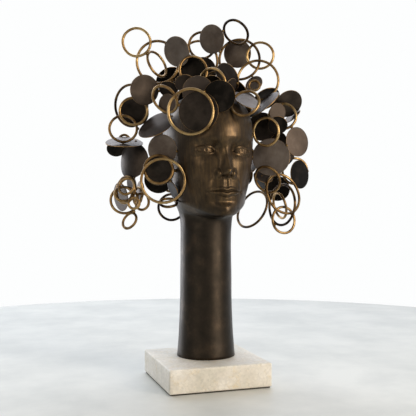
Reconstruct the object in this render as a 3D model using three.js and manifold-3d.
// Decorative head on a marble block, in millimetres, +Z up.
// A hollow cast head and neck stands on a square block. Its hair is a mass of wire rings and sheet
// discs, each welded to the casting or to the pieces before it. Nothing on it moves.
// The origin is the middle of the underside of the pad, and the face looks along -Y.
import * as THREE from "three";
import { mergeVertices } from "three/addons/utils/BufferGeometryUtils.js";
import Module from "manifold-3d";

// Clearances
const seatGap = 0.3; // between pieces that rest on each other
const weldGap = 0.3; // between a ring or disc and what it is welded to
const weldSlack = 0.15; // how much wider than weldGap a weld may be left
const longestSlide = 60; // how far a hair piece may slide to its weld
const slideCosts = [1, 2, 4, 8, 16, 32]; // the easiest slides are made first
const studClearance = 0.5; // round the stud, on the radius
const socketClearance = 4; // round the washer in its pocket, on the radius, for a box spanner

// Marble block and the pad under it
const blockSide = 152;
const blockHeight = 34;
const blockEdge = 1.2; // eased edges
const padInset = 1.6; // from the block's side to the pad's
const padThickness = 1.6;

// Fixing through the block
const studDiameter = 10;
const plateThickness = 8;
const plateAboveFoot = 6; // from the neck's foot to the plate's underside
const plateFit = 1; // between the plate's rim and the neck's inner wall
const washerDiameter = 30;
const washerThickness = 2.5;
const nutAcrossFlats = 17;
const nutThickness = 8;
const studBeyondNut = 2;
const pocketDepth = 17;

// Casting: the neck stands at neckPlace, and heights are above its foot
const neckPlace = { x: 4, y: 10 };
const castWall = 4;
const neckFootRadius = 44;
const neckWaistRadius = 39;
const neckFlareHeight = 110;
const neckHeight = 204; // foot to the throat
const headHeight = 190; // chin to crown
const headWidth = 131;
const headDepth = 164;
const headForward = 15; // middle of the skull in front of the neck's axis
const chinAboveThroat = 4;

// Wire rings and sheet discs, by outer diameter
const wireDiameter = 4;
const discThickness = 1.2;
const ringSize = { large: 66, medium: 44.5 };
const discSize = { large: 56, medium: 44.5 };

const ringFacets = 20;
const wireFacets = 6;
const discFacets = 24;
const headFacets = 44;
const frontCrowding = 0.45; // how much closer together the facets are over the face

// Each hair piece, from the skull outwards. Bearing is degrees round the skull from the face,
// towards +X, rise is degrees above its middle, and standoff is mm from the skull's surface. Yaw and
// pitch turn the piece's flat side in the same way: yaw 0 faces front, pitch 90 faces up.
const hair = [
  // name, kind, size, bearing, rise, standoff, yaw, pitch
  ["disc_brow_left", "disc", "large", -29, 24, 8, -27, -5],
  ["disc_crown_front", "disc", "medium", -32, 45, 14, -22, -10],
  ["disc_temple_left", "disc", "large", -91, 15, 20, -52, 44],
  ["disc_cheek_left", "disc", "medium", -77, -11, 14, -37, -8],
  ["disc_jaw_left", "disc", "medium", -89, -31, 21, -14, -18],
  ["disc_crown_left", "disc", "medium", -60, 73, 31, -42, -10],
  ["disc_ear_right", "disc", "large", 63, -14, 30, -24, 6],
  ["disc_nape_left", "disc", "medium", -140, -12, 10, -150, 10],
  ["disc_nape_right", "disc", "medium", 140, -18, 12, 140, -10],
  ["disc_back_top", "disc", "large", 170, 40, 10, 175, 35],
  ["disc_back_middle", "disc", "large", 165, 5, 8, 160, 0],
  ["disc_right_blade", "disc", "large", 61, 33, 33, -83, 46],
  ["ring_brow_left", "ring", "large", -34, 20, 22, -17, -3],
  ["ring_forehead", "ring", "medium", -13, 53, 15, -48, -16],
  ["ring_brow_right", "ring", "medium", 20, 30, 16, -38, 26],
  ["ring_temple_right", "ring", "medium", 50, 7, 22, -49, -5],
  ["ring_jaw_left_small", "ring", "medium", -87, -30, 21, -14, 6],
  ["ring_jaw_left_large", "ring", "large", -69, -36, 34, -15, -2],
  ["ring_jaw_right", "ring", "medium", 58, -33, 35, -52, -24],
  ["ring_back_left", "ring", "large", -160, 20, 14, -140, 20],
  ["ring_back_right", "ring", "medium", 140, 12, 16, 120, 10],
  ["disc_left_back", "disc", "medium", -114, 22, 54, -26, -29],
  ["disc_left_top", "disc", "medium", -93, 37, 54, 7, -9],
  ["disc_left_petal", "disc", "large", -111, -13, 53, -55, 4],
  ["disc_left_plate", "disc", "large", -108, -1, 60, -11, 70],
  ["disc_top_left", "disc", "medium", -73, 66, 68, -51, -19],
  ["disc_top_middle", "disc", "medium", 156, 80, 88, -51, -14],
  ["disc_top_right", "disc", "medium", 117, 66, 82, -38, -12],
  ["disc_right_upper", "disc", "medium", 77, 26, 68, 4, -32],
  ["disc_right_middle", "disc", "medium", 71, 0, 66, 17, 2],
  ["disc_right_lower", "disc", "medium", 86, -18, 87, 26, 2],
  ["ring_left_inner", "ring", "medium", -99, 21, 54, -12, 4],
  ["ring_left_large", "ring", "large", -111, 25, 61, -52, -7],
  ["ring_left_outer", "ring", "medium", -103, 8, 63, -11, 12],
  ["ring_crown_large", "ring", "large", 180, 69, 65, -40, -11],
  ["ring_crown_left", "ring", "large", -93, 56, 68, -14, -4],
  ["ring_crown_tilted", "ring", "medium", -109, 56, 66, 37, 20],
  ["ring_top_left", "ring", "medium", -97, 53, 108, -12, -4],
  ["ring_top_middle", "ring", "medium", 175, 73, 86, -18, -4],
  ["ring_right_large", "ring", "large", 86, 51, 52, -22, 5],
  ["ring_top_right", "ring", "large", 103, 67, 67, -21, 2],
  ["ring_top_peak", "ring", "medium", 83, 76, 97, -56, -40],
  ["ring_top_outer", "ring", "medium", 93, 58, 89, -22, 0],
  ["ring_right_upper", "ring", "medium", 70, 20, 50, -24, 14],
  ["ring_right_middle", "ring", "medium", 92, -16, 84, -6, -3],
  ["ring_right_tilted", "ring", "large", 72, -35, 67, 16, 18],
  ["ring_right_upright", "ring", "large", 81, -40, 78, -76, 4],
  ["ring_right_bottom", "ring", "medium", 87, -45, 97, 9, 6],
  ["ring_nape_right", "ring", "large", 119, -49, 62, -69, 25],
  ["ring_left_link", "ring", "medium", -106, -30, 76, -59, 8],
  ["ring_left_bottom", "ring", "medium", -107, -35, 84, -11, 16],
  ["ring_back_outer", "ring", "large", 172, 18, 45, 150, -15],
  ["ring_back_low", "ring", "medium", -165, -30, 40, -170, 20],
];

const wasm = await Module();
wasm.setup();

const degrees = Math.PI / 180;
const bust = new THREE.Group();

const marble = { color: 0xddd3c0, roughness: 0.35, metalness: 0 };
const rubber = { color: 0x26231f, roughness: 0.9, metalness: 0 };
const patina = { color: 0x2b2722, roughness: 0.35, metalness: 1 };
const brass = { color: 0xa8864c, roughness: 0.35, metalness: 1 };
const bronze = { color: 0x5c5048, roughness: 0.4, metalness: 1 };
const steel = { color: 0x8f8f8c, roughness: 0.4, metalness: 1 };

function addMesh(name, geometry, finish) {
  const mesh = new THREE.Mesh(geometry, new THREE.MeshStandardMaterial(finish));
  mesh.name = name;
  bust.add(mesh);
  return mesh;
}

// Solids for joins and cuts

// A geometry's shape alone, with its shared vertices merged.
function shapeOf(geometry) {
  const plain = new THREE.BufferGeometry();
  plain.setAttribute("position", geometry.getAttribute("position").clone());
  plain.setIndex(geometry.index);
  return mergeVertices(plain, 1e-3);
}

function toSolid(geometry) {
  const shape = shapeOf(geometry);
  const mesh = new wasm.Mesh({
    numProp: 3,
    vertProperties: shape.attributes.position.array,
    triVerts: new Uint32Array(shape.index.array),
  });
  return new wasm.Manifold(mesh);
}

function toGeometry(solid) {
  const { vertProperties, triVerts } = solid.getMesh();
  const geometry = new THREE.BufferGeometry();
  geometry.setAttribute("position", new THREE.BufferAttribute(vertProperties, 3));
  geometry.setIndex(new THREE.BufferAttribute(triVerts, 1));
  geometry.computeVertexNormals();
  return geometry;
}

// An upright cylinder from one height to another.
function post(radius, low, high, facets, x = 0, y = 0) {
  const geometry = new THREE.CylinderGeometry(radius, radius, high - low, facets);
  return geometry.rotateX(90 * degrees).translate(x, y, (low + high) / 2);
}

// A square slab with eased edges, from one height to another.
function slab(side, low, high, edge) {
  const half = side / 2 - edge;
  const outline = new THREE.Shape();
  outline.moveTo(-half, -half);
  outline.lineTo(half, -half);
  outline.lineTo(half, half);
  outline.lineTo(-half, half);
  const geometry = new THREE.ExtrudeGeometry(outline, {
    depth: high - low - 2 * edge,
    bevelEnabled: edge > 0,
    bevelThickness: edge,
    bevelSize: edge,
    bevelSegments: 2,
  });
  return geometry.translate(0, 0, low + edge);
}

// Block, pad and fixing

const blockBottom = padThickness + seatGap;
const blockTop = blockBottom + blockHeight;
const footHeight = blockTop + seatGap;
const plateBottom = footHeight + plateAboveFoot;
const plateTop = plateBottom + plateThickness;
const pocketTop = blockBottom + pocketDepth;
const washerTop = pocketTop - seatGap;
const nutTop = washerTop - washerThickness - seatGap;
const studBottom = nutTop - nutThickness - studBeyondNut;

function addBlock() {
  const stone = toSolid(slab(blockSide, blockBottom, blockTop, blockEdge));
  const { x, y } = neckPlace;
  const hole = toSolid(post(studDiameter / 2 + studClearance, 0, blockTop + 1, 24, x, y));
  const pocketRadius = washerDiameter / 2 + socketClearance;
  const pocket = toSolid(post(pocketRadius, blockBottom - 1, pocketTop, 32, x, y));
  addMesh("marble_base", toGeometry(stone.subtract(hole).subtract(pocket)), marble);
  const padSide = blockSide - 2 * padInset;
  addMesh("base_pad", slab(padSide, 0, padThickness, 0), rubber);
}

// A round or six-sided plate on the stud's axis with a hole that clears the stud.
function addOnStud(name, radius, low, high, facets, finish) {
  const { x, y } = neckPlace;
  const body = toSolid(post(radius, low, high, facets, x, y));
  const hole = toSolid(post(studDiameter / 2 + seatGap, low - 1, high + 1, 24, x, y));
  addMesh(name, toGeometry(body.subtract(hole)), finish);
}

function addFixing() {
  const { x, y } = neckPlace;
  const boreRadius = neckFootRadius - castWall;
  const plateRadius = boreRadius - footFall(plateTop - footHeight) - plateFit;
  const nutRadius = nutAcrossFlats / 2 / Math.cos(30 * degrees);
  addOnStud("anchor_plate", plateRadius, plateBottom, plateTop, 32, steel);
  addOnStud("fixing_washer", washerDiameter / 2, washerTop - washerThickness, washerTop, 28, steel);
  addOnStud("fixing_nut", nutRadius, nutTop - nutThickness, nutTop, 6, steel);
  const stud = post(studDiameter / 2, studBottom, plateTop + studBeyondNut, 20, x, y);
  addMesh("fixing_stud", stud, steel);
}

// Casting

// How far the neck has drawn in from its foot at a height above it.
function footFall(height) {
  const up = Math.min(height / neckFlareHeight, 1);
  return (neckFootRadius - neckWaistRadius) * (1 - (1 - up) ** 2);
}

// Sections of the neck and head, each two half ovals that share a width. Front and back are how far
// each half reaches from the neck's axis. A section's front edge may stand higher or lower than its back.
function headSections() {
  const throat = neckHeight;
  const chin = throat + chinAboveThroat;
  const rise = (share) => chin + share * headHeight;
  const halfWidth = headWidth / 2;
  const face = headDepth / 2 + headForward;
  const nape = headDepth / 2 - headForward;
  const sections = [];
  for (const share of [0, 0.12, 0.3, 0.6, 1]) {
    const height = share * neckFlareHeight;
    const radius = neckFootRadius - footFall(height);
    sections.push([height, height, radius, radius, radius]);
  }
  const waist = neckWaistRadius;
  const share = (low, high, part) => low + (high - low) * part;
  // front height, back height, half width, front, back
  sections.push([throat - 8, throat, waist, waist, waist + 1]);
  sections.push([throat + 6, rise(0.1), share(waist, halfWidth, 0.2), waist + 8, waist + 3]);
  sections.push([chin - 1, rise(0.17), share(waist, halfWidth, 0.42), face * 0.78, waist + 7]);
  sections.push([rise(0.03), rise(0.22), share(waist, halfWidth, 0.54), face * 0.93, nape * 0.74]);
  sections.push([rise(0.1), rise(0.28), halfWidth * 0.85, face * 0.965, nape * 0.79]);
  sections.push([rise(0.19), rise(0.35), halfWidth * 0.9, face * 0.97, nape * 0.85]);
  sections.push([rise(0.29), rise(0.42), halfWidth * 0.945, face * 0.975, nape * 0.91]);
  sections.push([rise(0.4), rise(0.49), halfWidth * 0.98, face * 0.98, nape * 0.96]);
  sections.push([rise(0.5), rise(0.56), halfWidth * 0.995, face * 0.98, nape * 0.99]);
  sections.push([rise(0.58), rise(0.62), halfWidth, face, nape]);
  sections.push([rise(0.7), rise(0.7), halfWidth * 0.985, face * 0.975, nape * 0.99]);
  sections.push([rise(0.81), rise(0.8), halfWidth * 0.91, face * 0.89, nape * 0.91]);
  sections.push([rise(0.9), rise(0.89), halfWidth * 0.745, face * 0.72, nape * 0.74]);
  sections.push([rise(0.965), rise(0.96), halfWidth * 0.47, face * 0.45, nape * 0.47]);
  sections.push([rise(1), rise(1), 0, 0, 0]);
  return sections;
}

// Low hills and hollows that make the face: across, share of the head's height, their spread both
// ways in mm, and how far each stands out.
const features = [
  [0, 0.33, 10, 9, 14], // nose tip
  [0, 0.42, 7, 16, 8], // nose bridge
  [0, 0.565, 30, 6, 2.5], // brow
  [26, 0.5, 11, 8, -5.5], // eye hollows
  [26, 0.5, 8, 5, 3.5], // eyeballs
  [0, 0.225, 14, 4, 4], // upper lip
  [0, 0.17, 12, 4, 4.5], // lower lip
  [0, 0.055, 12, 9, 4], // chin
  [38, 0.36, 13, 12, 2.5], // cheekbones
];

function featureHeight(across, height) {
  let total = 0;
  for (const [side, share, wide, tall, out] of features) {
    const middle = neckHeight + chinAboveThroat + share * headHeight;
    const away = (height - middle) / tall;
    for (const x of side ? [side, -side] : [0]) {
      total += out * Math.exp(-(((across - x) / wide) ** 2) - away * away);
    }
  }
  return total;
}

// The neck and head as one closed form on the neck's axis, foot at zero, drawn in by inset. The
// plain form with no face is the core that leaves the casting its wall.
function headForm(inset, facets, steps, withFace) {
  const sections = headSections();
  const heights = new THREE.CatmullRomCurve3(
    sections.map(([front, back, width]) => new THREE.Vector3(front, back, width)),
    false,
    "centripetal",
  );
  const reaches = new THREE.CatmullRomCurve3(
    sections.map(([, , width, front, back]) => new THREE.Vector3(width, front, back)),
    false,
    "centripetal",
  );
  const profile = [new THREE.Vector2(0, -1)];
  for (let step = 0; step <= steps; step += 1) {
    profile.push(new THREE.Vector2(step < steps ? 1 : 0, step));
  }
  const geometry = new THREE.LatheGeometry(profile, facets);
  const place = geometry.getAttribute("position");
  const uv = geometry.getAttribute("uv");
  for (let i = 0; i < place.count; i += 1) {
    const step = Math.round(uv.getY(i) * (profile.length - 1)) - 1;
    const round = uv.getX(i) * 360 * degrees;
    const turn = round - frontCrowding * Math.sin(round);
    if (step < 0) {
      place.setXYZ(i, 0, 0, inset ? -1 : 0);
      continue;
    }
    const t = step / steps;
    const [front, back] = heights.getPoint(t).toArray();
    const [width, ahead, behind] = reaches.getPoint(t).toArray();
    const forward = Math.cos(turn);
    const sideways = Math.sin(turn);
    const reach = forward > 0 ? ahead : behind;
    const lean = (1 + forward) / 2;
    let height = back + (front - back) * lean * lean;
    const shrink = (size) => Math.max(size - inset, 0);
    const x = shrink(width) * sideways;
    let y = -shrink(reach) * forward;
    if (inset) {
      // The core stands lower under the crown, higher over the jaw, and runs out through the foot.
      const jaw = Math.max(0, 1 - Math.abs(height - neckHeight) / 30) * Math.max(forward, 0);
      height += inset * (jaw - Math.max(0, t - 0.8) * 5);
      if (step === 0) height = -1;
    }
    if (withFace && forward > 0) y -= featureHeight(x, height) * Math.min(1, forward * 2);
    place.setXYZ(i, x, y, height);
  }
  geometry.computeVertexNormals();
  return geometry;
}

// Adds the casting and gives back its outside.
function addCasting() {
  const outside = headForm(0, headFacets, 36, true);
  const core = headForm(castWall, 24, 18, false);
  const shell = toSolid(outside).subtract(toSolid(core));
  const geometry = toGeometry(shell).translate(neckPlace.x, neckPlace.y, footHeight);
  addMesh("head_casting", geometry, patina);
  return outside.translate(neckPlace.x, neckPlace.y, footHeight);
}

// Hair

const skull = {
  middle: new THREE.Vector3(
    neckPlace.x,
    neckPlace.y - headForward,
    footHeight + neckHeight + chinAboveThroat + 0.6 * headHeight,
  ),
  reach: new THREE.Vector3(headWidth / 2, headDepth / 2, 0.4 * headHeight),
};

// A unit vector from degrees round from the front and degrees up.
function heading(round, up) {
  const level = Math.cos(up * degrees);
  const x = level * Math.sin(round * degrees);
  const y = -level * Math.cos(round * degrees);
  return new THREE.Vector3(x, y, Math.sin(up * degrees));
}

// A ring counts as its wire's middle circle and a disc as its rim. Skin is what stands round it.
function hairPiece([name, kind, size, bearing, rise, standoff, yaw, pitch]) {
  const outer = kind === "ring" ? ringSize[size] : discSize[size];
  const radius = kind === "ring" ? (outer - wireDiameter) / 2 : outer / 2;
  const sag = radius * (1 - Math.cos(180 * degrees / ringFacets));
  const skin = kind === "ring" ? wireDiameter / 2 + sag : 0.7 * discThickness;
  const axis = heading(yaw, pitch);
  const across = new THREE.Vector3(0, 0, 1).cross(axis).normalize();
  const along = axis.clone().cross(across);
  const way = heading(bearing, rise);
  const scalp = 1 / way.clone().divide(skull.reach).length();
  const middle = way.multiplyScalar(scalp + standoff).add(skull.middle);
  return { name, kind, radius, skin, axis, across, along, middle };
}

function rimPoint(piece, turn, share = 1) {
  const reach = piece.radius * share;
  return piece.middle
    .clone()
    .addScaledVector(piece.across, reach * Math.cos(turn))
    .addScaledVector(piece.along, reach * Math.sin(turn));
}

// From a point to a piece's surface, negative inside it.
function roomTo(piece, point) {
  const away = point.clone().sub(piece.middle);
  const height = away.dot(piece.axis);
  const beyond = Math.sqrt(Math.max(away.lengthSq() - height * height, 0)) - piece.radius;
  if (piece.kind === "ring") return Math.hypot(beyond, height) - piece.skin;
  const above = Math.abs(height) - discThickness / 2;
  return above > 0 && beyond > 0 ? Math.hypot(above, beyond) : Math.max(above, beyond);
}

// The least room along one piece's circle: the nearest of a few points, then closing in on it.
function leastAlong(piece, room) {
  const count = 32;
  let step = 360 * degrees / count;
  let best = { turn: 0, room: Infinity };
  const tryAt = (turn) => {
    const found = room(rimPoint(piece, turn));
    if (found < best.room) best = { turn, room: found };
  };
  for (let i = 0; i < count; i += 1) tryAt(i * step);
  if (best.room > 12) return best.room;
  for (let pass = 0; pass < 5; pass += 1) {
    step /= 2;
    const middle = best.turn;
    tryAt(middle - step);
    tryAt(middle + step);
  }
  return best.room;
}

function roomBetween(one, other) {
  const spread = one.radius + other.radius + one.skin + other.skin;
  const apart = one.middle.distanceTo(other.middle) - spread;
  if (apart > 12) return apart;
  const there = leastAlong(one, (point) => roomTo(other, point)) - one.skin;
  const back = leastAlong(other, (point) => roomTo(one, point)) - other.skin;
  return Math.min(there, back);
}

// The casting's corners, each with the triangles that meet there.
function cornersOf(casting) {
  const shape = shapeOf(casting);
  const place = shape.getAttribute("position");
  const corners = [];
  for (let i = 0; i < place.count; i += 1) {
    corners.push({ point: new THREE.Vector3().fromBufferAttribute(place, i), triangles: [] });
  }
  for (let i = 0; i < shape.index.count; i += 3) {
    const around = [0, 1, 2].map((next) => corners[shape.index.getX(i + next)]);
    const triangle = new THREE.Triangle(...around.map((corner) => corner.point));
    if (triangle.getArea() < 1e-6) continue;
    for (const corner of around) corner.triangles.push(triangle);
  }
  return corners;
}

// From a point to the triangles round a corner, negative inside them.
function roomToCorner(corner, point) {
  const nearest = new THREE.Vector3();
  const normal = new THREE.Vector3();
  let least = Infinity;
  for (const triangle of corner.triangles) {
    triangle.closestPointToPoint(point, nearest);
    const away = point.distanceTo(nearest);
    if (away >= Math.abs(least)) continue;
    least = triangle.getNormal(normal).dot(nearest.sub(point)) > 0 ? -away : away;
  }
  return least;
}

// The casting counts as its corners near the piece.
function roomToCasting(corners, piece) {
  if (!corners.length) return Infinity;
  let least = Infinity;
  for (const share of piece.kind === "ring" ? [1] : [1, 0.5, 0]) {
    for (let i = 0; i < 24; i += 1) {
      const point = rimPoint(piece, i * 15 * degrees, share);
      let nearest = corners[0];
      let closest = Infinity;
      for (const corner of corners) {
        const apart = corner.point.distanceToSquared(point);
        if (apart < closest) [closest, nearest] = [apart, corner];
      }
      least = Math.min(least, roomToCorner(nearest, point) - piece.skin);
    }
  }
  return least;
}

// The ways a piece may slide. It slides most easily nearly front to back, so that the hair keeps
// its outline.
const easyWay = new THREE.Vector3(1, 3, 0).normalize();
const slides = [];
for (const x of [-1, 0, 1]) {
  for (const y of [-3, -1, 0, 1, 3]) {
    for (const z of [-1, 0, 1]) {
      if (x || y || z) slides.push(new THREE.Vector3(x, y, z).normalize());
    }
  }
}

// Slides a piece the least that leaves it just clear of every piece before it and welded to one.
// Gives back whether it found such a place at no more than the dearest cost.
function settle(piece, placed, dearest) {
  const start = piece.middle.clone();
  const roomNow = () => {
    let least = roomToCasting(piece.corners, piece);
    for (const other of placed) least = Math.min(least, roomBetween(piece, other));
    return least;
  };
  let best = null;
  for (const way of slides) {
    const perMm = 1 - 0.85 * Math.abs(way.dot(easyWay));
    const farthest = Math.min(longestSlide, dearest / perMm);
    let travel = 0;
    while (travel <= farthest && (!best || travel * perMm < best.cost)) {
      piece.middle.copy(start).addScaledVector(way, travel);
      const room = roomNow();
      if (room >= weldGap && room <= weldGap + weldSlack) {
        best = { cost: travel * perMm, middle: piece.middle.clone() };
        break;
      }
      travel += Math.max(Math.abs(room - weldGap), 0.1);
    }
  }
  piece.middle.copy(best ? best.middle : start);
  if (best) placed.push(piece);
  return best !== null;
}

function addHair(casting) {
  const pieces = hair.map(hairPiece);
  const corners = cornersOf(casting);
  for (const piece of pieces) {
    const reach = piece.radius + longestSlide + 15;
    piece.corners = corners.filter(({ point }) => point.distanceTo(piece.middle) < reach);
  }
  const placed = [];
  let waiting = pieces;
  for (const dearest of slideCosts) {
    let before = 0;
    while (waiting.length !== before) {
      before = waiting.length;
      waiting = waiting.filter((piece) => !settle(piece, placed, dearest));
    }
  }
  if (waiting.length) throw new Error(waiting[0].name + " reaches nothing to be welded to");
  for (const piece of pieces) {
    const isRing = piece.kind === "ring";
    const geometry = isRing
      ? new THREE.TorusGeometry(piece.radius, wireDiameter / 2, wireFacets, ringFacets)
      : new THREE.CylinderGeometry(piece.radius, piece.radius, discThickness, discFacets);
    if (!isRing) geometry.rotateX(90 * degrees);
    const mesh = addMesh(piece.name, geometry, isRing ? brass : bronze);
    mesh.position.copy(piece.middle);
    mesh.quaternion.setFromUnitVectors(new THREE.Vector3(0, 0, 1), piece.axis);
  }
}

addBlock();
addFixing();
addHair(addCasting());

export default bust;
